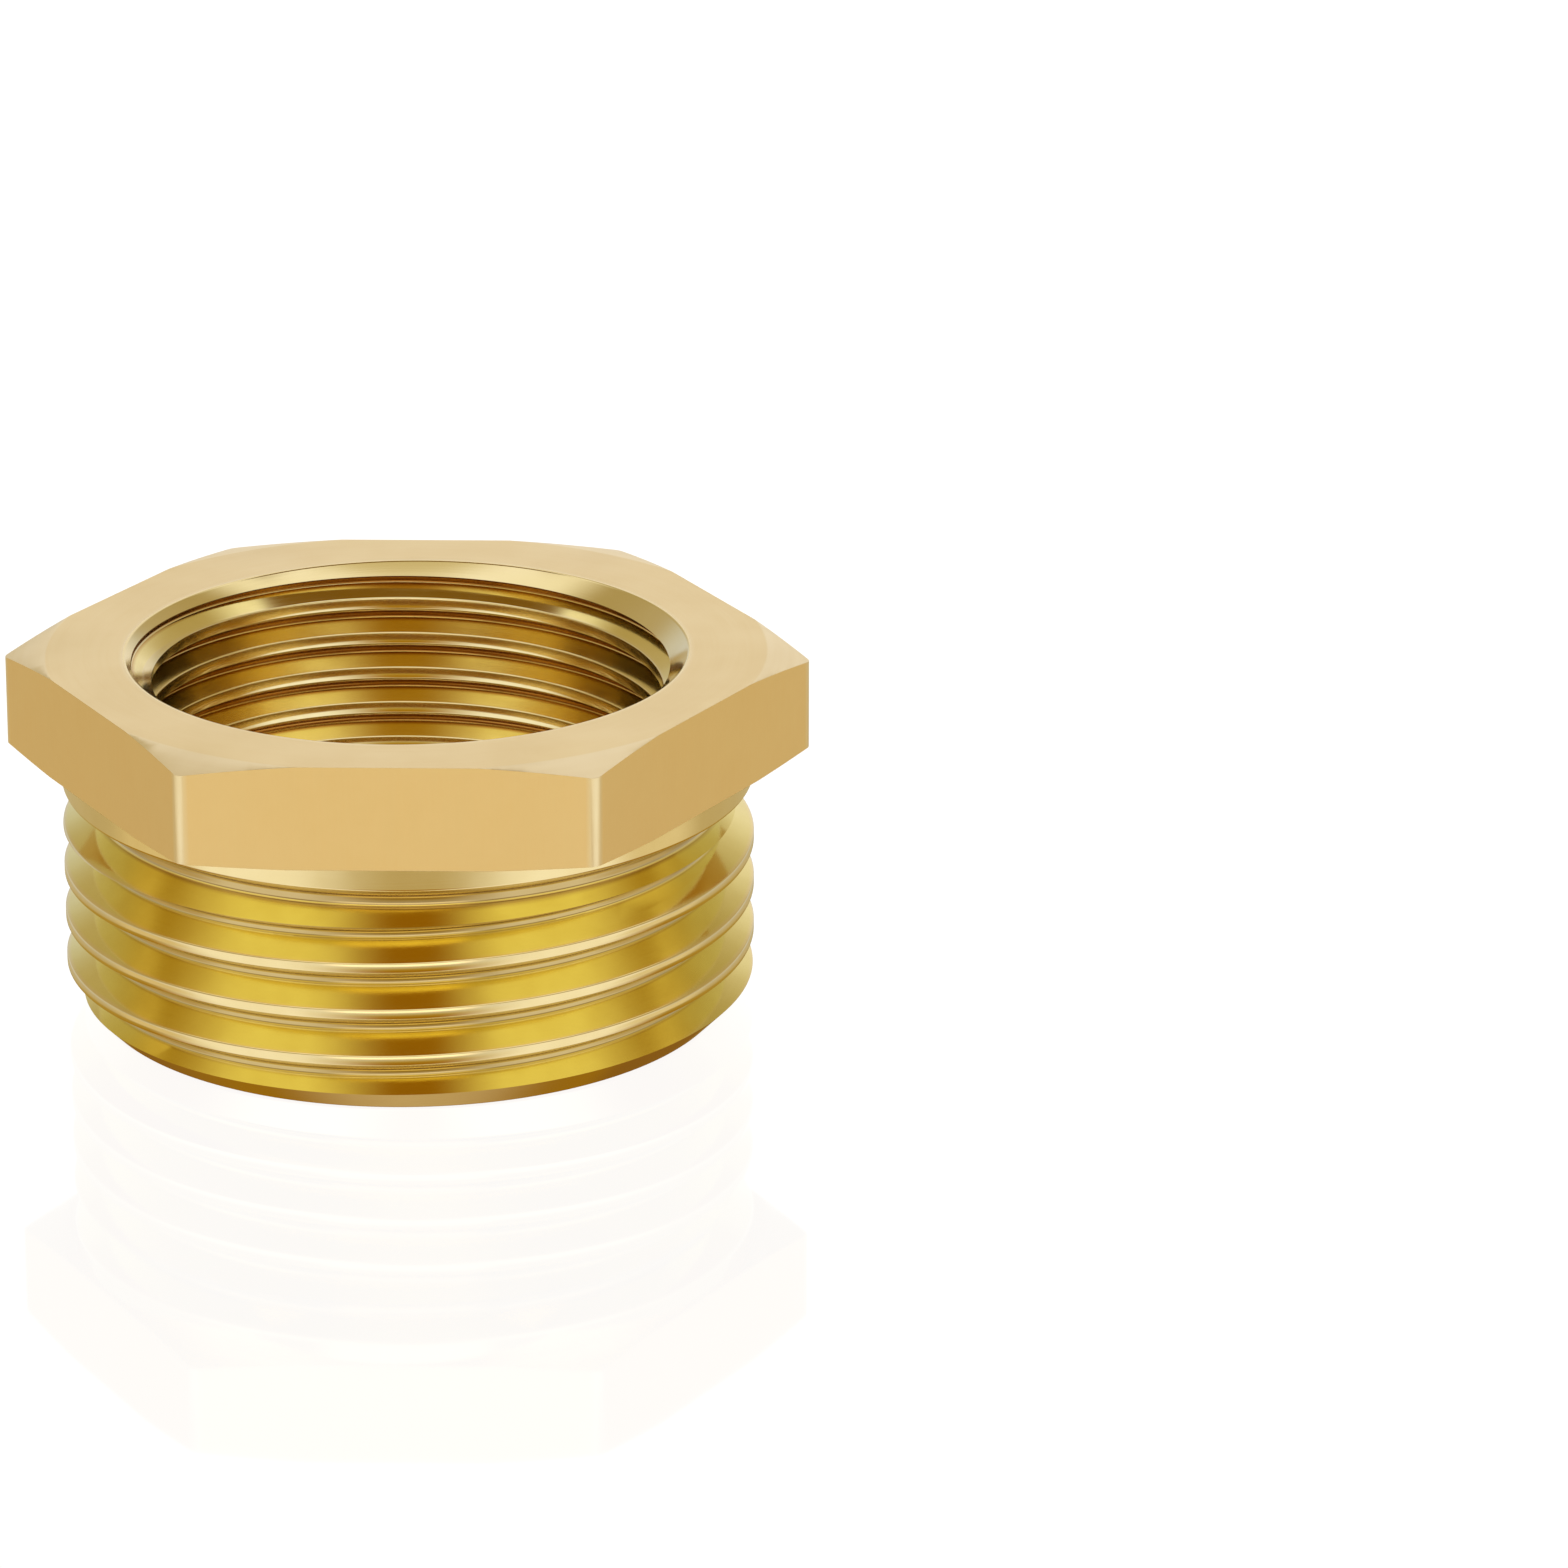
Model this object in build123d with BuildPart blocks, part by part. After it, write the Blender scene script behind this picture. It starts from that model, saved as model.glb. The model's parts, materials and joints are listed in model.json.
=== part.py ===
from build123d import *
from build123d.topology import SkipClean
from math import ceil, cos, radians, tan
import os

# Hex reducing bushing turned from one bar of hexagonal brass: a male pipe thread outside and a smaller
# female pipe thread through it. Millimetres. Z is the thread axis, z = 0 the end face of the male
# thread and +Z points at the hex head. Two corners of the hexagon lie on the X axis.

# Pipe threads, 55 degree Whitworth form, parallel, right-handed
inch = 25.4
thread_angle = 55.0
thread_depth_share = 0.640327            # thread depth over pitch
male_threads_per_inch = 11
male_major_diameter = 33.249             # size 1
male_crest_share = 0.20                  # flat on top of each ridge, over pitch
male_root_height = 8.71                  # where the root of the thread passes the -Y side
female_threads_per_inch = 14
female_major_diameter = 26.441           # size 3/4
tapping_allowance = 0.3825               # bore over the full-form minor diameter
female_root_share = 0.138                # flat at the bottom of each groove, over pitch
female_root_height = 14.78               # where the root of the thread passes the +Y side

# Head
head_across_flats = 33.5
head_height = 5.05
head_corner_radius = 0.5                 # drawn corners of the hexagonal bar
top_chamfer_start = 0.5                  # chamfers of the head start this far outside its flats
top_chamfer_angle = 13.0
under_chamfer_start = 0.65
under_chamfer_angle = 7.5

# Shank
total_height = 17.5
plain_band_height = 1.07                 # full-diameter band between head and relief
relief_extra_depth = 0.10                # relief below the thread root, so that the tool runs out clear
relief_root_width = 0.45
lead_chamfer = 1.5                       # 45 degrees, on the male end

# Bore
mouth_countersink_margin = 0.2795        # countersink's rim, outside the root of the female thread
mouth_countersink_angle = 45.0
mouth_edge_radius = 0.2
end_countersink_depth = 0.65             # 45 degrees

arcs_per_wall = 6                        # a wall that carries a thread is drawn in this many arcs
overshoot = 2.0                          # how far cutters stand out past a face
mouth_clearance = 0.15                   # how far a thread cutter stands out of the wall it cuts

head_bottom = total_height - head_height
flat_reach = head_across_flats / 2
corner_reach = flat_reach / cos(radians(30))
top_chamfer_radius = flat_reach + top_chamfer_start
under_chamfer_radius = flat_reach + under_chamfer_start
male_radius = male_major_diameter / 2
male_pitch = inch / male_threads_per_inch
male_thread_depth = thread_depth_share * male_pitch
male_root_radius = male_radius - male_thread_depth
female_pitch = inch / female_threads_per_inch
female_radius = female_major_diameter / 2
bore_radius = female_radius - thread_depth_share * female_pitch + tapping_allowance / 2
mouth_countersink_radius = female_radius + mouth_countersink_margin
flank_slope = tan(radians(thread_angle / 2))        # axial run of a flank per unit of depth
relief_radius = male_root_radius - relief_extra_depth
relief_flank = (male_radius - relief_radius) * flank_slope
relief_top = head_bottom - plain_band_height
relief_middle = relief_top - relief_flank - relief_root_width / 2


def arc_wall(radius, height):
    """Round face drawn as equal arcs, so that a thread cut in its wall leaves short crest faces."""
    step = 360 / arcs_per_wall
    arcs = [CenterArc((0, 0, height), radius, index * step, step) for index in range(arcs_per_wall)]
    return Face(Wire(arcs))


def thread_turn(pitch, root_radius, mouth_radius, root_width):
    """One turn of a helical V cutter with a flat root, climbing from z = 0 on the +X side."""
    mouth_width = root_width + 2 * abs(root_radius - mouth_radius) * flank_slope
    with BuildPart(mode=Mode.PRIVATE) as turn:
        with BuildLine() as lead:
            Helix(pitch, pitch, root_radius)
        with BuildSketch(Plane.XZ):
            with BuildLine():
                Polyline(
                    (root_radius, -root_width / 2),
                    (root_radius, root_width / 2),
                    (mouth_radius, mouth_width / 2),
                    (mouth_radius, -mouth_width / 2),
                    close=True,
                )
            make_face()
        sweep(path=lead.wires()[0], is_frenet=True)
    return turn.part


def cut_thread(turn, pitch, end_height, passing_height, passing_angle):
    """Cuts whole turns that end at end_height, their root passing passing_height at passing_angle."""
    end_angle = passing_angle + 360 * (end_height - passing_height) / pitch
    for index in range(1, ceil(end_height / pitch) + 2):
        place = Location((0, 0, end_height - index * pitch), (0, 0, end_angle))
        add(turn.moved(place), mode=Mode.SUBTRACT, clean=False)


with BuildPart() as bushing_body:
    # Hexagonal bar with drawn corners
    with BuildSketch(Plane.XY.offset(head_bottom)):
        RegularPolygon(flat_reach, 6, major_radius=False)
    extrude(amount=head_height)
    fillet(bushing_body.edges().filter_by(Axis.Z), head_corner_radius)

    # Both faces of the head are chamfered in the lathe
    top_drop = (corner_reach - top_chamfer_radius) * tan(radians(top_chamfer_angle))
    under_rise = (corner_reach - under_chamfer_radius) * tan(radians(under_chamfer_angle))
    with BuildSketch(Plane.XZ):
        with BuildLine():
            Polyline(
                (0, head_bottom),
                (under_chamfer_radius, head_bottom),
                (corner_reach, head_bottom + under_rise),
                (corner_reach, total_height - top_drop),
                (top_chamfer_radius, total_height),
                (0, total_height),
                close=True,
            )
        make_face()
    revolve(axis=Axis.Z, mode=Mode.INTERSECT)

    # Countersink of the bore's mouth, with its rim broken
    mouth_depth = (mouth_countersink_radius - bore_radius) / tan(radians(mouth_countersink_angle))
    with BuildSketch(Plane.XZ):
        with BuildLine():
            Polyline(
                (0, total_height - mouth_depth),
                (bore_radius, total_height - mouth_depth),
                (mouth_countersink_radius, total_height),
                (0, total_height),
                close=True,
            )
        make_face()
    revolve(axis=Axis.Z, mode=Mode.SUBTRACT)
    top_circles = bushing_body.edges().filter_by(GeomType.CIRCLE).group_by(Axis.Z)[-1]
    mouth_rim = top_circles.sort_by(SortBy.RADIUS)[-1]
    fillet(mouth_rim, mouth_edge_radius)

    # From here on nothing is merged, so that the arcs of the two threaded walls stay separate faces
    with SkipClean():
        # Shank, at the major diameter of the male thread
        extrude(arc_wall(male_radius, 0), amount=head_bottom, dir=(0, 0, 1), clean=False)

        # Relief under the plain band, where the thread runs out
        with BuildSketch(Plane.XZ):
            with BuildLine():
                Polyline(
                    (relief_radius, relief_middle - relief_root_width / 2),
                    (relief_radius, relief_middle + relief_root_width / 2),
                    (male_radius, relief_top),
                    (male_radius + overshoot, relief_top),
                    (male_radius + overshoot, relief_top - 2 * relief_flank - relief_root_width),
                    (male_radius, relief_top - 2 * relief_flank - relief_root_width),
                    close=True,
                )
            make_face()
        revolve(axis=Axis.Z, mode=Mode.SUBTRACT, clean=False)

        # Lead chamfer on the male end
        with BuildSketch(Plane.XZ):
            with BuildLine():
                Polyline(
                    (male_radius - lead_chamfer - overshoot, -overshoot),
                    (male_radius + overshoot, lead_chamfer + overshoot),
                    (male_radius + overshoot, -overshoot),
                    close=True,
                )
            make_face()
        revolve(axis=Axis.Z, mode=Mode.SUBTRACT, clean=False)

        # Through bore
        extrude(
            arc_wall(bore_radius, -overshoot),
            amount=total_height + 2 * overshoot,
            dir=(0, 0, 1),
            mode=Mode.SUBTRACT,
            clean=False,
        )

        # Countersink of its lower end
        with BuildSketch(Plane.XZ):
            with BuildLine():
                Polyline(
                    (0, 0),
                    (bore_radius + end_countersink_depth, 0),
                    (bore_radius, end_countersink_depth),
                    (0, end_countersink_depth),
                    close=True,
                )
            make_face()
        revolve(axis=Axis.Z, mode=Mode.SUBTRACT, clean=False)

        # Male thread, ending in the relief
        male_root_width = male_pitch * (1 - male_crest_share) - 2 * male_thread_depth * flank_slope
        male_mouth_radius = male_radius + mouth_clearance
        male_turn = thread_turn(male_pitch, male_root_radius, male_mouth_radius, male_root_width)
        cut_thread(male_turn, male_pitch, relief_middle, male_root_height, -90)

        # Female thread, right through
        female_root_width = female_pitch * female_root_share
        female_mouth_radius = bore_radius - mouth_clearance
        female_turn = thread_turn(female_pitch, female_radius, female_mouth_radius, female_root_width)
        cut_thread(female_turn, female_pitch, total_height + female_pitch, female_root_height, 90)

bushing_body.part.label = "bushing_body"

os.makedirs("parts", exist_ok=True)
export_step(bushing_body.part, "parts/bushing_body.step")
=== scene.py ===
import json
from math import cos, pi, radians, sin, tan

import bmesh
import bpy
from mathutils import Matrix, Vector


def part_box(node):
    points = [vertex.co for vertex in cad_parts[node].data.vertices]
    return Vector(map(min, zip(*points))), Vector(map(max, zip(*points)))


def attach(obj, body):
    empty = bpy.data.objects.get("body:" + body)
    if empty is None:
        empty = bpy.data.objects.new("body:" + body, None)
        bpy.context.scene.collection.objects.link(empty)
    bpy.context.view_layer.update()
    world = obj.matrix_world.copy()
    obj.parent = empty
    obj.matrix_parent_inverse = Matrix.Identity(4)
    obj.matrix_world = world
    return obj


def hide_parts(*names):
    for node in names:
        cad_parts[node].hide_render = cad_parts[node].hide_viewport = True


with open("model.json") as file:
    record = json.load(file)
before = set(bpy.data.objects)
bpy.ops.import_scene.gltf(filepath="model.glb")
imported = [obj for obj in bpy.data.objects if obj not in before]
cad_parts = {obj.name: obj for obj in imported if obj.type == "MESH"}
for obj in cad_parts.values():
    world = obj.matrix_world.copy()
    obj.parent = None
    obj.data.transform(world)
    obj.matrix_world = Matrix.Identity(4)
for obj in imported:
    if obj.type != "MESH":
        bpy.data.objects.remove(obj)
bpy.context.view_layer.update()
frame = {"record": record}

# Brass hex reducing bushing: a hexagonal bar, turned, bored and threaded in a workshop's order.
# Metres, in the frame of the part: Z is the thread axis and the part stands on z = 0.

mm = 0.001
inch = 25.4 * mm
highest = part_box("bushing_body")[1]
mounts = {mount["name"]: mount for mount in frame["record"]["mounts"]}
totalHeight = highest.z
flatReach = highest.y
maleRadius = mounts["male_thread"]["dims"]["r_mm"] * mm
boreRadius = mounts["female_thread"]["dims"]["r_mm"] * mm

turnSteps = 180  # facets round a full turn
mergeReach = {  # points closer than this become one
    "turned": 0.001 * mm,
    "blank": 0.002 * mm,
    "cutter": 0.0005 * mm,
    "threaded": 0.001 * mm,
}


def newPiece(name, shape):
    mesh = bpy.data.meshes.new(name)
    shape.to_mesh(mesh)
    shape.free()
    piece = bpy.data.objects.new(name, mesh)
    bpy.context.scene.collection.objects.link(piece)
    return piece


def roundOff(shape, parts, amount, segments=4, affect="EDGES", clamp=False):
    bmesh.ops.bevel(
        shape,
        geom=parts,
        offset=amount,
        offset_type="OFFSET",
        segments=segments,
        profile=0.5,
        affect=affect,
        material=-1,
        clamp_overlap=clamp,
    )


def turnedSolid(name, corners):
    # corners are (radius, height, rounding), from the axis round to the axis again
    shape = bmesh.new()
    points = [shape.verts.new((radius, 0, height)) for radius, height, rounding in corners]
    for pair in zip(points, points[1:]):
        shape.edges.new(pair)
    for point, (radius, height, rounding) in zip(points, corners):
        if rounding:
            roundOff(shape, [point], rounding, affect="VERTICES")
    bmesh.ops.spin(
        shape,
        geom=shape.verts[:] + shape.edges[:],
        angle=2 * pi,
        steps=turnSteps,
        axis=(0, 0, 1),
        cent=(0, 0, 0),
        use_merge=True,
    )
    bmesh.ops.remove_doubles(shape, verts=shape.verts[:], dist=mergeReach["turned"])
    bmesh.ops.recalc_face_normals(shape, faces=shape.faces[:])
    return newPiece(name, shape)


def combine(piece, tool, operation):
    change = piece.modifiers.new(operation, "BOOLEAN")
    change.operation = operation
    change.solver = "MANIFOLD"
    change.object = tool
    graph = bpy.context.evaluated_depsgraph_get()
    result = bpy.data.meshes.new_from_object(piece.evaluated_get(graph))
    piece.modifiers.remove(change)
    piece.data = result
    bpy.data.objects.remove(tool)


def mergeClose(shape, distance):
    bmesh.ops.remove_doubles(shape, verts=shape.verts[:], dist=distance)
    bmesh.ops.dissolve_degenerate(shape, edges=shape.edges[:], dist=distance)


headForm = {
    "height": 5.05 * mm,
    "cornerRadius": 0.5 * mm,
    "cornerSegments": 6,
    "topChamferStart": 0.5 * mm,  # outside the flats
    "topChamferAngle": radians(13),
    "underChamferStart": 0.65 * mm,
    "underChamferAngle": radians(7.5),
    "edgeRounding": 0.11 * mm,
    "edgeSegments": 3,
}
shankForm = {
    "plainBand": 1.07 * mm,
    "reliefRadius": 15.046 * mm,
    "reliefRoot": 0.45 * mm,
    "reliefRounding": 0.12 * mm,
    "bandRounding": 0.09 * mm,
    "leadChamfer": 1.5 * mm,
    "leadRounding": 0.12 * mm,
}
boreForm = {
    "mouthRadius": 13.5 * mm,
    "mouthRounding": 0.2 * mm,
    "mouthSegments": 4,
    "endCountersink": 0.65 * mm,
    "overshoot": 2 * mm,
}
maleThread = {
    "pitch": inch / 11,
    "wall": maleRadius,  # where the crests are
    "root": 15.146 * mm,
    "rootWidth": 0.307 * mm,
    "rootRounding": 0.10 * mm,
    "crestRounding": 0.085 * mm,
    "outward": 1,  # the cutter works from outside
    "phaseHeight": 8.71 * mm,  # the root passes this height on the -Y side
    "phaseAngle": radians(-90),
}
femaleThread = {
    "pitch": inch / 14,
    "wall": boreRadius,
    "root": 13.2205 * mm,
    "rootWidth": 0.25 * mm,
    "rootRounding": 0.08 * mm,
    "crestRounding": 0.075 * mm,
    "outward": -1,  # the cutter works from inside
    "phaseHeight": 14.78 * mm,  # the root passes this height on the +Y side
    "phaseAngle": radians(90),
}
threadCutter = {
    "flankAngle": radians(27.5),
    "shoulder": 0.012 * mm,  # clear of the wall, so that the shoulders cut only the crests' corners
    "wing": 0.32,  # how much of the crest's width each shoulder reaches over
    "clearance": 0.4 * mm,
}

flankSlope = tan(threadCutter["flankAngle"])  # axial run of a flank per unit of depth
halfSide = radians(30)  # half of the angle that one side of a hexagon takes
headBottom = totalHeight - headForm["height"]
bandBottom = headBottom - shankForm["plainBand"]
reliefFlank = (maleRadius - shankForm["reliefRadius"]) * flankSlope
reliefTop = bandBottom - reliefFlank
reliefBottom = reliefTop - shankForm["reliefRoot"]


def hexagonalBar():
    overshoot = boreForm["overshoot"]
    shape = bmesh.new()
    outline = bmesh.ops.create_circle(shape, cap_ends=True, segments=6, radius=flatReach / cos(halfSide))
    turn = Matrix.Rotation(halfSide, 3, "Z")
    bmesh.ops.rotate(shape, verts=outline["verts"], cent=(0, 0, 0), matrix=turn)
    bmesh.ops.translate(shape, verts=shape.verts[:], vec=(0, 0, -overshoot))
    raised = bmesh.ops.extrude_face_region(shape, geom=shape.faces[:])
    top = [part for part in raised["geom"] if isinstance(part, bmesh.types.BMVert)]
    bmesh.ops.translate(shape, verts=top, vec=(0, 0, totalHeight + 2 * overshoot))
    upright = [edge for edge in shape.edges if abs(edge.verts[0].co.z - edge.verts[1].co.z) > mm]
    roundOff(shape, upright, headForm["cornerRadius"] * tan(halfSide), headForm["cornerSegments"])
    bmesh.ops.recalc_face_normals(shape, faces=shape.faces[:])
    return newPiece("bushing_detail", shape)


def turnedEnvelope():
    cornerReach = flatReach / cos(halfSide) + mm  # clear of the bar's corners
    topStart = flatReach + headForm["topChamferStart"]
    underStart = flatReach + headForm["underChamferStart"]
    topDrop = (cornerReach - topStart) * tan(headForm["topChamferAngle"])
    underRise = (cornerReach - underStart) * tan(headForm["underChamferAngle"])
    return turnedSolid("envelope", [
        (0, 0, 0),
        (maleRadius - shankForm["leadChamfer"], 0, shankForm["leadRounding"]),
        (maleRadius, shankForm["leadChamfer"], shankForm["leadRounding"]),
        (maleRadius, reliefBottom - reliefFlank, shankForm["bandRounding"]),
        (shankForm["reliefRadius"], reliefBottom, shankForm["reliefRounding"]),
        (shankForm["reliefRadius"], reliefTop, shankForm["reliefRounding"]),
        (maleRadius, bandBottom, shankForm["bandRounding"]),
        (maleRadius, headBottom, 0),
        (underStart, headBottom, 0),
        (cornerReach, headBottom + underRise, 0),
        (cornerReach, totalHeight - topDrop, 0),
        (topStart, totalHeight, 0),
        (0, totalHeight, 0),
    ])


def boreTool():
    overshoot = boreForm["overshoot"]
    mouthDepth = boreForm["mouthRadius"] - boreRadius
    endRadius = boreRadius + boreForm["endCountersink"]
    return turnedSolid("boreTool", [
        (0, -overshoot, 0),
        (endRadius + overshoot, -overshoot, 0),
        (boreRadius, boreForm["endCountersink"], 0),
        (boreRadius, totalHeight - mouthDepth, 0),
        (boreForm["mouthRadius"] + overshoot, totalHeight + overshoot, 0),
        (0, totalHeight + overshoot, 0),
    ])


def breakEdges(piece):
    sharpLeast = radians(40)
    rimReach = 0.05 * mm
    headReach = 0.01 * mm
    mouthSlope = radians(45)
    shape = bmesh.new()
    shape.from_mesh(piece.data)
    mergeClose(shape, mergeReach["blank"])
    shape.edges.ensure_lookup_table()

    def onRim(vert):
        return abs(vert.co.xy.length - boreForm["mouthRadius"]) < rimReach

    def onHead(vert):
        return vert.co.xy.length > flatReach - headReach and vert.co.z > headBottom - headReach

    def sharpEdges(test):
        return [
            edge for edge in shape.edges
            if len(edge.link_faces) == 2 and edge.is_convex and edge.calc_face_angle() > sharpLeast
            and all(test(vert) for vert in edge.verts)
        ]

    rimCut = boreForm["mouthRounding"] * tan(mouthSlope / 2)
    roundOff(shape, sharpEdges(onRim), rimCut, boreForm["mouthSegments"])
    roundOff(shape, sharpEdges(onHead), headForm["edgeRounding"], headForm["edgeSegments"], clamp=True)
    shape.to_mesh(piece.data)
    shape.free()


def threadTool(name, thread, endHeight):
    # V tool with a rounded root and shoulders that break the crests, swept down a helix from endHeight
    pitch = thread["pitch"]
    depth = abs(thread["wall"] - thread["root"])
    mouthWidth = thread["rootWidth"] + 2 * depth * flankSlope
    wing = (pitch - mouthWidth) * threadCutter["wing"]
    shoulder = threadCutter["shoulder"]
    clearance = threadCutter["clearance"]
    turnsDown = int(endHeight / pitch) + 2
    stepTurn = 2 * pi / turnSteps

    endTurn = thread["phaseAngle"] + 2 * pi * (endHeight - thread["phaseHeight"]) / pitch
    snappedTurn = round(endTurn / stepTurn) * stepTurn  # so that the facets meet the turned ones
    snappedHeight = endHeight + (snappedTurn - endTurn) / (2 * pi) * pitch

    def point(away, height):
        return shape.verts.new((thread["root"] + thread["outward"] * away, 0, height))

    shape = bmesh.new()
    halfRoot = thread["rootWidth"] / 2
    halfMouth = mouthWidth / 2 + shoulder * flankSlope
    corners = [
        point(0, -halfRoot),
        point(0, halfRoot),
        point(depth + shoulder, halfMouth),
        point(depth + shoulder, halfMouth + wing),
        point(depth + clearance, halfMouth + wing),
        point(depth + clearance, -halfMouth - wing),
        point(depth + shoulder, -halfMouth - wing),
        point(depth + shoulder, -halfMouth),
    ]
    for pair in zip(corners, corners[1:] + corners[:1]):
        shape.edges.new(pair)
    for corner in corners[0], corners[1]:
        roundOff(shape, [corner], thread["rootRounding"], affect="VERTICES")
    for corner in corners[2], corners[7]:
        roundOff(shape, [corner], thread["crestRounding"], affect="VERTICES")
    bmesh.ops.translate(shape, verts=shape.verts[:], vec=(0, 0, snappedHeight - turnsDown * pitch))
    startTurn = Matrix.Rotation(snappedTurn, 3, "Z")
    bmesh.ops.rotate(shape, verts=shape.verts[:], cent=(0, 0, 0), matrix=startTurn)
    bmesh.ops.spin(
        shape,
        geom=shape.verts[:] + shape.edges[:],
        angle=2 * pi,
        dvec=(0, 0, pitch / turnSteps),
        steps=turnSteps,
        axis=(0, 0, 1),
        cent=(0, 0, 0),
    )
    firstTurn = shape.verts[:] + shape.edges[:] + shape.faces[:]
    for turn in range(1, turnsDown):
        copied = bmesh.ops.duplicate(shape, geom=firstTurn)["geom"]
        moved = [part for part in copied if isinstance(part, bmesh.types.BMVert)]
        bmesh.ops.translate(shape, verts=moved, vec=(0, 0, turn * pitch))
    bmesh.ops.remove_doubles(shape, verts=shape.verts[:], dist=mergeReach["cutter"])
    bmesh.ops.holes_fill(shape, edges=[edge for edge in shape.edges if edge.is_boundary])
    bmesh.ops.recalc_face_normals(shape, faces=shape.faces[:])
    return newPiece(name, shape)


def makeBushing():
    piece = hexagonalBar()
    combine(piece, turnedEnvelope(), "INTERSECT")
    combine(piece, boreTool(), "DIFFERENCE")
    breakEdges(piece)
    print("blank turned and bored:", len(piece.data.polygons), "faces")

    reliefMiddle = reliefTop - shankForm["reliefRoot"] / 2
    combine(piece, threadTool("maleTool", maleThread, reliefMiddle), "DIFFERENCE")
    print("male thread cut:", len(piece.data.polygons), "faces")
    aboveMouth = totalHeight + 2 * femaleThread["pitch"]
    combine(piece, threadTool("femaleTool", femaleThread, aboveMouth), "DIFFERENCE")
    print("female thread cut:", len(piece.data.polygons), "faces")

    shape = bmesh.new()
    shape.from_mesh(piece.data)
    mergeClose(shape, mergeReach["threaded"])
    shape.to_mesh(piece.data)
    openEdges = sum(not edge.is_manifold for edge in shape.edges)
    volume = shape.calc_volume()
    triangles = sum(len(face.verts) - 2 for face in shape.faces)
    shape.free()
    print("bushing:", triangles, "triangles,", openEdges, "open edges,", round(volume / mm**3), "mm3")
    return piece


# Where one finish ends and the next begins. Tilts are how far a face's normal points up or down.
finishLimits = {
    "flatsDepth": 0.3 * mm,  # inside the flats
    "flatsTilt": 0.7,
    "levelTilt": 0.93,
    "rimReach": 0.1 * mm,
    "mouthDepth": 0.3 * mm,
    "chamferTilt": sin(radians(45)),
    "chamferSpread": 0.12,
    "edgeReach": 0.02 * mm,
    "bottomReach": 0.01 * mm,
    "betweenThreads": 14.5 * mm,
    "sharpAngle": radians(32),
    "normalWeight": 50,
}


def faceFinish(centre, normal):
    limits = finishLimits
    radius = centre.xy.length
    tilt = abs(normal.z)
    rimRadius = boreForm["mouthRadius"] + limits["rimReach"]
    onHead = centre.z > headBottom + limits["edgeReach"]
    if radius > flatReach - limits["flatsDepth"] and onHead and tilt < limits["flatsTilt"]:
        return "drawnFlats"
    if radius > rimRadius and tilt > limits["levelTilt"]:
        return "turnedFaces"
    if radius < rimRadius and centre.z > totalHeight - limits["mouthDepth"]:
        return "chamfers"
    if radius > maleRadius + limits["edgeReach"]:
        return "turnedFaces"
    towardsItsEnd = (normal.z < 0) == (centre.z < totalHeight / 2)
    if abs(tilt - limits["chamferTilt"]) < limits["chamferSpread"] and towardsItsEnd:
        return "chamfers"
    if centre.z < limits["bottomReach"]:
        return "turnedFaces"
    outwards = normal.xy.dot(centre.xy) > 0
    return "maleThreadCut" if outwards and radius > limits["betweenThreads"] else "boreThreadCut"


def assignFinishes(piece, finishes):
    piece.data.materials.clear()
    for material in finishes.values():
        piece.data.materials.append(material)
    order = list(finishes)
    for face in piece.data.polygons:
        face.material_index = order.index(faceFinish(face.center, face.normal))
    piece.data.shade_smooth()
    piece.data.set_sharp_from_angle(angle=finishLimits["sharpAngle"])
    weighting = piece.modifiers.new("weightedNormals", "WEIGHTED_NORMAL")
    weighting.keep_sharp = True
    weighting.weight = finishLimits["normalWeight"]


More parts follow.
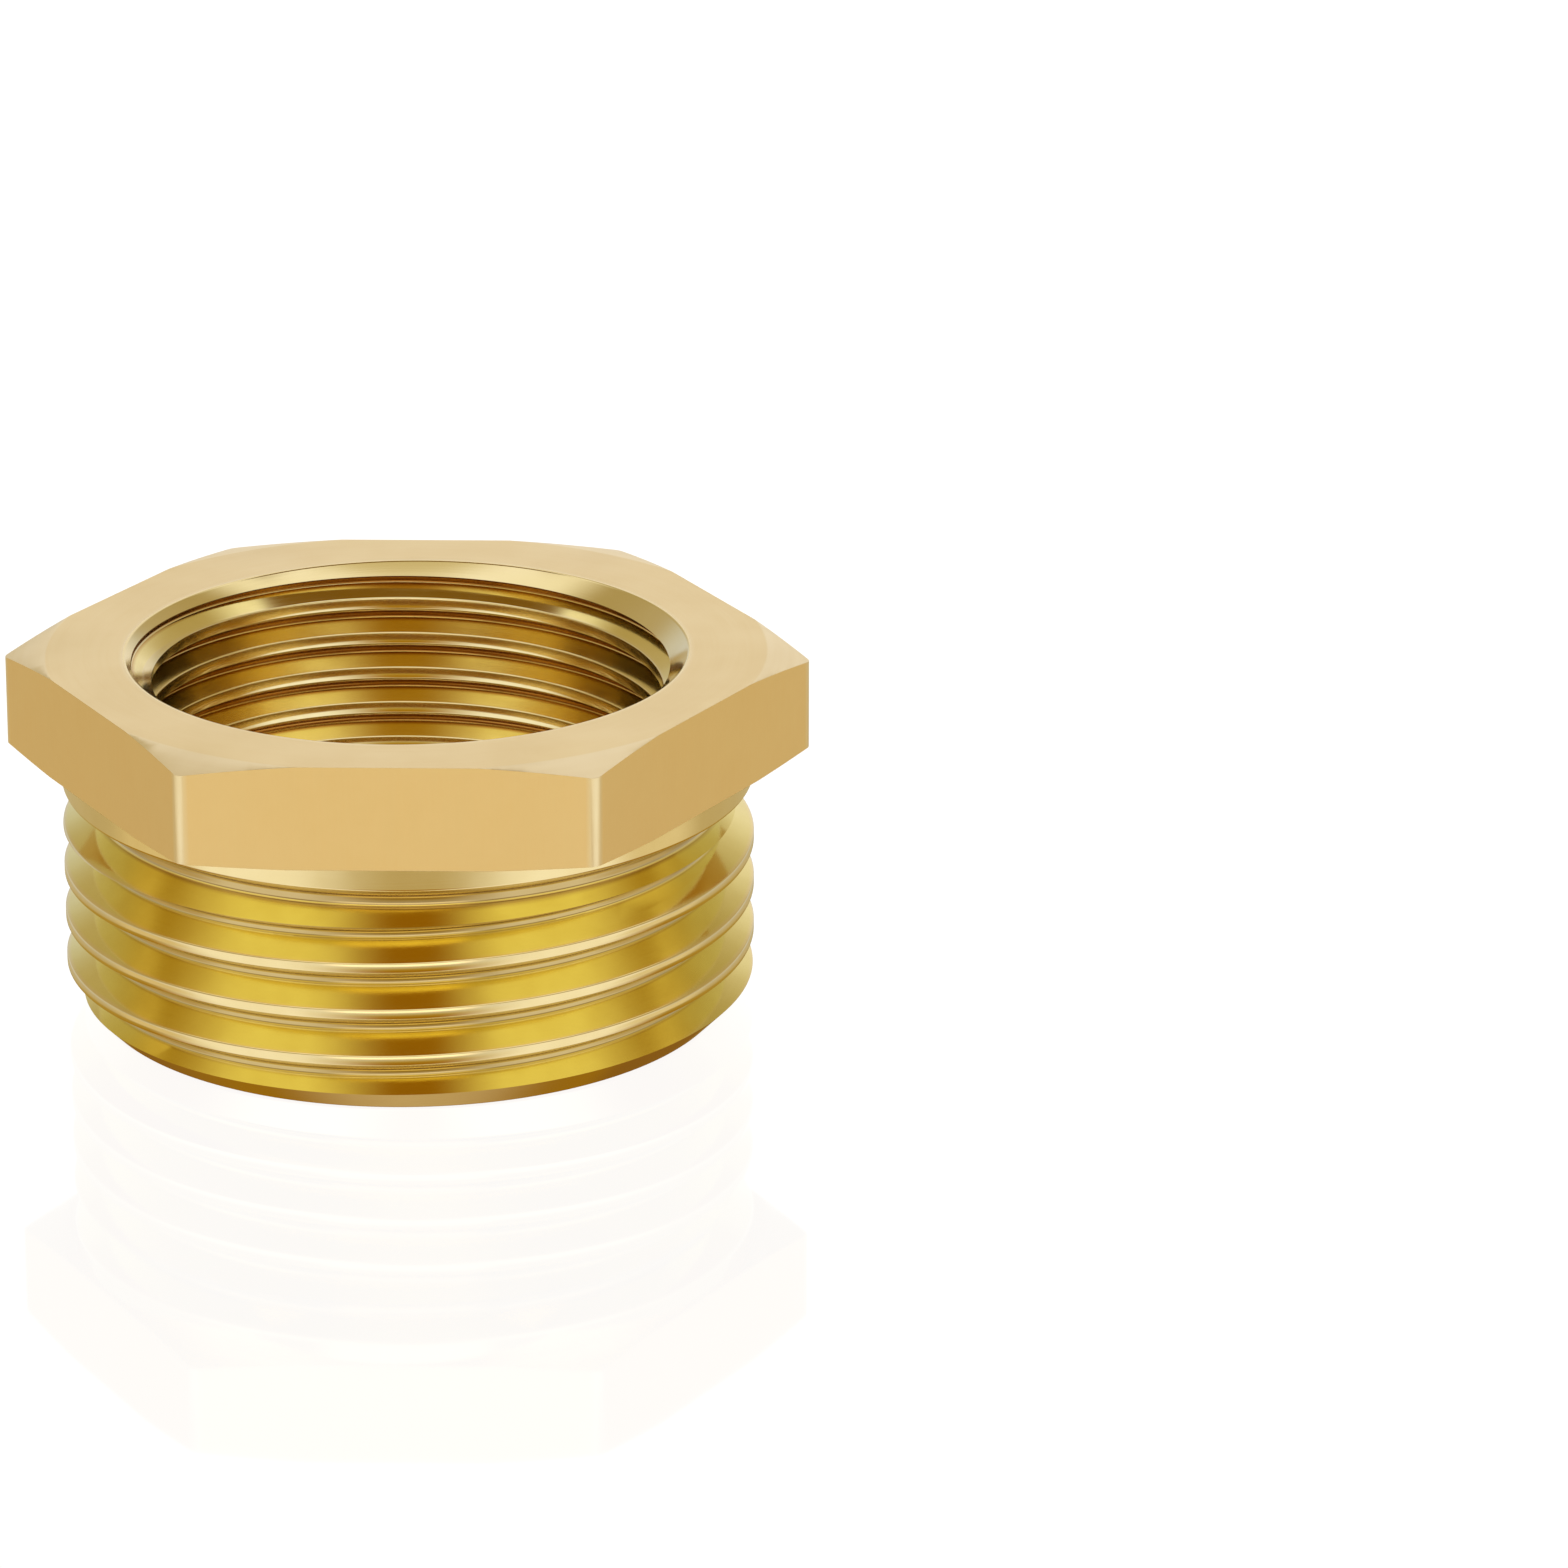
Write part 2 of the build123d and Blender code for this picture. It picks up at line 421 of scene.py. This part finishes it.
# tones go by the distance from the thread axis, in mm, and some of them are painted highlights and painted
# shade. stainShare and roughness are least and most.
# lines are the tool's marks: lineSpacing is how far apart they are, and lineDepth how deep. lineStretch is
# how many times longer than wide a drawn line is, and about a sixth of a turned line's patches in a turn.
brassFinishes = {
    "drawnFlats": {
        # the paler tone at the hexagon's rounded corners is a painted highlight
        "tones": [(16.7, (0.96, 0.715, 0.335)), (19.08, (0.96, 0.72, 0.345)), (19.22, (0.96, 0.80, 0.50))],
        "stain": (0.90, 0.86, 0.74),
        "stainSize": 2.6 * mm,
        "stainShare": (0.0, 0.22),
        "roughness": (0.46, 0.54),
        "lines": "axial",
        "lineSpacing": 0.16 * mm,
        "lineDepth": 0.0012 * mm,
        "lineStretch": 14,
    },
    "turnedFaces": {
        # paler towards the mouth and on the head's chamfer rings: painted highlights
        "tones": [
            (13.5, (0.90, 0.76, 0.50)), (13.8, (0.86, 0.69, 0.39)),
            (17.2, (0.86, 0.69, 0.39)), (17.3, (0.90, 0.76, 0.50)),
        ],
        "stain": (0.93, 0.89, 0.82),
        "stainSize": 3.2 * mm,
        "stainShare": (0.0, 0.2),
        "roughness": (0.30, 0.38),
        "lines": "round",
        "lineSpacing": 0.14 * mm,
        "lineDepth": 0.0022 * mm,
        "lineStretch": 2.5,
    },
    "chamfers": {
        "tones": [(12.2, (0.86, 0.72, 0.41)), (16.7, (0.86, 0.72, 0.41))],
        "stain": (0.92, 0.88, 0.78),
        "stainSize": 2.2 * mm,
        "stainShare": (0.0, 0.25),
        "roughness": (0.10, 0.16),
        "lines": "round",
        "lineSpacing": 0.10 * mm,
        "lineDepth": 0.0009 * mm,
        "lineStretch": 2.5,
    },
    "maleThreadCut": {
        # darker at the thread roots and in the relief groove, painted shade; paler at the crests, a
        # painted highlight
        "tones": [
            (15.14, (0.60, 0.44, 0.20)), (15.22, (0.72, 0.57, 0.22)), (15.34, (0.86, 0.725, 0.26)),
            (16.40, (0.86, 0.725, 0.27)), (16.58, (0.88, 0.71, 0.38)),
        ],
        "stain": (0.88, 0.82, 0.66),
        "stainSize": 1.8 * mm,
        "stainShare": (0.0, 0.3),
        "roughness": (0.08, 0.14),
        "lines": "helical",
        "pitch": maleThread["pitch"],
        "lineSpacing": 0.10 * mm,
        "lineDepth": 0.0008 * mm,
        "lineStretch": 2,
    },
    "boreThreadCut": {
        # darker at the thread roots, painted shade; paler at the crests, a painted highlight; and the
        # bore's brass is paler all over than the outer thread's, painted light inside the bore
        "tones": [
            (12.28, (0.90, 0.76, 0.44)), (12.42, (0.89, 0.75, 0.36)), (12.98, (0.88, 0.74, 0.33)),
            (13.12, (0.62, 0.40, 0.13)), (13.21, (0.46, 0.22, 0.05)),
        ],
        "stain": (0.88, 0.82, 0.66),
        "stainSize": 1.8 * mm,
        "stainShare": (0.0, 0.3),
        "roughness": (0.10, 0.17),
        "lines": "helical",
        "pitch": femaleThread["pitch"],
        "lineSpacing": 0.10 * mm,
        "lineDepth": 0.0008 * mm,
        "lineStretch": 2,
    },
}
# How the noise in every finish is read: its detail, and the low and high ends of its useful range.
patternForm = {
    "lineDetail": 3,
    "heightShare": 1.37,  # not 1, or a 45 degree chamfer would have no lines
    "stainDetail": 4,
    "stainRange": (0.35, 0.7),
    "lineWeight": 0.5,  # the lines' part in the roughness, and the stains' part is the same
    "roughnessRange": (0.35, 0.65),
}


def addNode(tree, kind, inputs, **settings):
    # inputs holds values and sockets, by the input's name or number
    node = tree.nodes.new("ShaderNode" + kind)
    for name, value in settings.items():
        setattr(node, name, value)
    for place, value in inputs.items():
        if isinstance(value, bpy.types.NodeSocket):
            tree.links.new(value, node.inputs[place])
        else:
            node.inputs[place].default_value = value
    return node


def calculate(tree, operation, *values):
    return addNode(tree, "Math", dict(enumerate(values)), operation=operation).outputs[0]


def mixColours(tree, share, first, second, **settings):
    # a Mix node's two colours are its inputs 6 and 7, and its colour is output 2
    node = addNode(tree, "Mix", {0: share, 6: first, 7: (*second, 1)}, data_type="RGBA", **settings)
    return node.outputs[2]


def colourRamp(tree, value, stops, interpolation):
    low, high = stops[0][0], stops[-1][0]
    span = addNode(tree, "MapRange", {"Value": value, "From Min": low, "From Max": high})
    node = addNode(tree, "ValToRGB", {"Fac": span.outputs["Result"]})
    node.color_ramp.interpolation = interpolation
    elements = node.color_ramp.elements
    elements.remove(elements[1])
    elements[0].position = 0
    elements[0].color = (*stops[0][1], 1)
    for place, colour in stops[1:]:
        elements.new((place - low) / (high - low)).color = (*colour, 1)
    return node.outputs["Color"]


def rescale(tree, value, given, wanted):
    given = {"From Min": given[0], "From Max": given[1]}
    wanted = {"To Min": wanted[0], "To Max": wanted[1]}
    return addNode(tree, "MapRange", {"Value": value, **given, **wanted}).outputs["Result"]


def toolLines(tree, finish, position, axes, radius):
    # noise drawn out along the lines that the tool left
    spacing = finish["lineSpacing"]
    stretch = finish["lineStretch"]
    pattern = {"Scale": 1, "Detail": patternForm["lineDetail"]}
    if finish["lines"] == "axial":
        squeeze = (1 / spacing, 1 / spacing, 1 / spacing / stretch)
        place = addNode(tree, "VectorMath", {0: position, 1: squeeze}, operation="MULTIPLY")
        return addNode(tree, "TexNoise", {"Vector": place.outputs[0], **pattern}).outputs["Fac"]
    eastward = calculate(tree, "MULTIPLY", calculate(tree, "DIVIDE", axes["X"], radius), stretch)
    northward = calculate(tree, "MULTIPLY", calculate(tree, "DIVIDE", axes["Y"], radius), stretch)
    if finish["lines"] == "round":
        across = calculate(tree, "MULTIPLY_ADD", axes["Z"], patternForm["heightShare"], radius)
        across = calculate(tree, "DIVIDE", across, spacing)
        place = addNode(tree, "CombineXYZ", {"X": eastward, "Y": northward, "Z": across})
        return addNode(tree, "TexNoise", {"Vector": place.outputs[0], **pattern}).outputs["Fac"]
    climb = calculate(tree, "MULTIPLY", axes["Z"], 2 * pi / finish["pitch"])
    turn = calculate(tree, "SUBTRACT", climb, calculate(tree, "ARCTAN2", axes["Y"], axes["X"]))
    reach = finish["pitch"] / (2 * pi) / spacing
    place = addNode(tree, "CombineXYZ", {
        "X": calculate(tree, "MULTIPLY", calculate(tree, "COSINE", turn), reach),
        "Y": calculate(tree, "MULTIPLY", calculate(tree, "SINE", turn), reach),
        "Z": eastward,
    })
    inputs = {"Vector": place.outputs[0], "W": northward, **pattern}
    return addNode(tree, "TexNoise", inputs, noise_dimensions="4D").outputs["Fac"]


def newMaterial(name, finish):
    material = bpy.data.materials.new(name)
    material.use_nodes = True
    tree = material.node_tree
    shader = tree.nodes["Principled BSDF"]
    shader.inputs["Metallic"].default_value = 1
    position = addNode(tree, "TexCoord", {}).outputs["Object"]
    axes = addNode(tree, "SeparateXYZ", {0: position}).outputs
    level = addNode(tree, "VectorMath", {0: position, 1: (1, 1, 0)}, operation="MULTIPLY")
    radius = addNode(tree, "VectorMath", {0: level.outputs[0]}, operation="LENGTH").outputs["Value"]

    # the tone by radius carries the painted highlights and painted shade set in the finishes' tones
    tones = [(place * mm, colour) for place, colour in finish["tones"]]
    tone = colourRamp(tree, radius, tones, "LINEAR")
    stains = addNode(tree, "TexNoise", {
        "Vector": position, "Scale": 1 / finish["stainSize"], "Detail": patternForm["stainDetail"],
    }).outputs["Fac"]
    share = rescale(tree, stains, patternForm["stainRange"], finish["stainShare"])
    stained = mixColours(tree, share, tone, finish["stain"], blend_type="MULTIPLY")
    tree.links.new(stained, shader.inputs["Base Color"])

    lines = toolLines(tree, finish, position, axes, radius)
    weight = patternForm["lineWeight"]
    both = calculate(tree, "MULTIPLY_ADD", lines, weight, calculate(tree, "MULTIPLY", stains, weight))
    roughness = rescale(tree, both, patternForm["roughnessRange"], finish["roughness"])
    tree.links.new(roughness, shader.inputs["Roughness"])
    relief = addNode(tree, "Bump", {"Height": lines, "Distance": finish["lineDepth"]})
    tree.links.new(relief.outputs["Normal"], shader.inputs["Normal"])
    return material


# The floor is a light table. It lies just under the part, so that no two faces share a plane.
floorForm = {
    "reach": 3,
    "gap": 0.02 * mm,
    "colour": (0.02, 0.02, 0.02),
    "glow": 0.915,
    "roughness": 0.04,
    "refraction": 1.55,
}


def makeFloor():
    shape = bmesh.new()
    bmesh.ops.create_grid(shape, x_segments=1, y_segments=1, size=floorForm["reach"])
    bmesh.ops.translate(shape, verts=shape.verts[:], vec=(0, 0, -floorForm["gap"]))
    floor = newPiece("floor", shape)
    material = bpy.data.materials.new("lightTable")
    material.use_nodes = True
    shader = material.node_tree.nodes["Principled BSDF"]
    shader.inputs["Base Color"].default_value = (*floorForm["colour"], 1)
    shader.inputs["Roughness"].default_value = floorForm["roughness"]
    shader.inputs["IOR"].default_value = floorForm["refraction"]
    shader.inputs["Emission Color"].default_value = (1, 1, 1, 1)
    shader.inputs["Emission Strength"].default_value = floorForm["glow"]
    floor.data.materials.append(material)
    floor.visible_glossy = False  # the metal sees the warm surroundings in place of the white floor


# Soft studio, in degrees. surroundings go by the elevation of the direction. Each card is a soft-edged
# rectangle of light or shade: its bearing (0 is the front, 90 is +X), half width and soft edge,
# its lowest and highest elevation and their soft edge, and its colour.
studioForm = {
    "surroundings": [
        (-90, (0.64, 0.50, 0.28)),
        (-70, (0.62, 0.48, 0.26)),
        (-57, (0.34, 0.17, 0.008)),
        (-38, (0.40, 0.21, 0.012)),
        (-27, (0.46, 0.32, 0.06)),
        (-20, (0.58, 0.50, 0.30)),
        (-8, (0.61, 0.60, 0.56)),
        (6, (0.69, 0.71, 0.72)),
        (24, (0.52, 0.44, 0.26)),
        (42, (0.47, 0.38, 0.18)),
        (54, (1.04, 1.02, 0.90)),
        (66, (1.08, 1.07, 1.02)),
        (76, (0.70, 0.62, 0.40)),
        (90, (0.50, 0.42, 0.22)),
    ],
    "cards": [
        ("leftBox", -52, 10, 40, -90, 4, 14, (1.05, 1.07, 1.04)),
        ("rightBox", 58, 12, 35, -90, 4, 14, (1.05, 1.07, 1.04)),
        ("rightFill", 94, 8, 17, -21, -9, 4, (0.82, 0.75, 0.54)),
        ("leftFill", -92, 8, 17, -21, -9, 4, (0.76, 0.66, 0.42)),
        ("frontHorizon", 0, 16, 12, -6, 6, 5, (1.5, 1.46, 1.28)),
        ("frontCard", 0, 20, 14, 8, 30, 6, (1.05, 1.02, 0.92)),
        ("backCard", 176, 10, 16, -4, 50, 7, (0.93, 0.89, 0.82)),
        ("backCeiling", 180, 66, 26, 60, 84, 5, (0.20, 0.10, 0.01)),
        ("backFloor", 180, 16, 14, -46, -28, 6, (0.26, 0.12, 0.015)),
    ],
}


def makeWorld():
    world = bpy.data.worlds.new("softStudio")
    bpy.context.scene.world = world
    world.use_nodes = True
    tree = world.node_tree
    direction = addNode(tree, "TexCoord", {}).outputs["Generated"]
    axes = addNode(tree, "SeparateXYZ", {0: direction}).outputs
    elevation = calculate(tree, "DEGREES", calculate(tree, "ARCSINE", axes["Z"]))
    towardsFront = calculate(tree, "MULTIPLY", axes["Y"], -1)
    bearing = calculate(tree, "DEGREES", calculate(tree, "ARCTAN2", axes["X"], towardsFront))

    def fade(value, full, gone):
        # 1 up to full, then softly down to 0 at gone
        step = {"Value": value, "From Min": gone, "From Max": full}
        return addNode(tree, "MapRange", step, interpolation_type="SMOOTHSTEP").outputs["Result"]

    light = colourRamp(tree, elevation, studioForm["surroundings"], "EASE")
    for name, middle, halfWidth, sideEdge, lowest, highest, endEdge, colour in studioForm["cards"]:
        aside = calculate(tree, "WRAP", calculate(tree, "SUBTRACT", bearing, middle), 180, -180)
        share = fade(calculate(tree, "ABSOLUTE", aside), halfWidth, halfWidth + sideEdge)
        share = calculate(tree, "MULTIPLY", share, fade(elevation, highest, highest + endEdge))
        if lowest > -90:
            share = calculate(tree, "MULTIPLY", share, fade(elevation, lowest, lowest - endEdge))
        light = mixColours(tree, share, light, colour, label=name)
    tree.links.new(light, tree.nodes["Background"].inputs["Color"])


cameraForm = {
    "azimuth": radians(0.639),
    "elevation": radians(19.957),
    "roll": radians(0.13),
    "distance": 380.82 * mm,
    "aside": 18.054 * mm,
    "below": 6.45 * mm,
    "lens": 182.65,
    "sensor": 36,
    "nearest": 10 * mm,
}


def makeCamera():
    lens = bpy.data.cameras.new("camera")
    lens.lens = cameraForm["lens"]
    lens.sensor_width = cameraForm["sensor"]
    lens.clip_start = cameraForm["nearest"]
    camera = bpy.data.objects.new("camera", lens)
    bpy.context.scene.collection.objects.link(camera)
    aim = Matrix.Translation((0, 0, totalHeight))
    tilt = Matrix.Rotation(pi / 2 - cameraForm["elevation"], 4, "X")
    turn = Matrix.Rotation(cameraForm["azimuth"], 4, "Z") @ tilt
    roll = Matrix.Rotation(cameraForm["roll"], 4, "Z")
    away = Matrix.Translation((cameraForm["aside"], -cameraForm["below"], cameraForm["distance"]))
    camera.matrix_world = aim @ turn @ roll @ away
    bpy.context.scene.camera = camera


bushing = makeBushing()
assignFinishes(bushing, {name: newMaterial(name, finish) for name, finish in brassFinishes.items()})
print("brass finishes:", len(bushing.data.materials))
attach(bushing, "root")
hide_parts("bushing_body")
makeFloor()
makeWorld()
makeCamera()
print("floor, studio cards:", len(studioForm["cards"]), "and camera placed")
bpy.context.scene.view_settings.view_transform = "Standard"
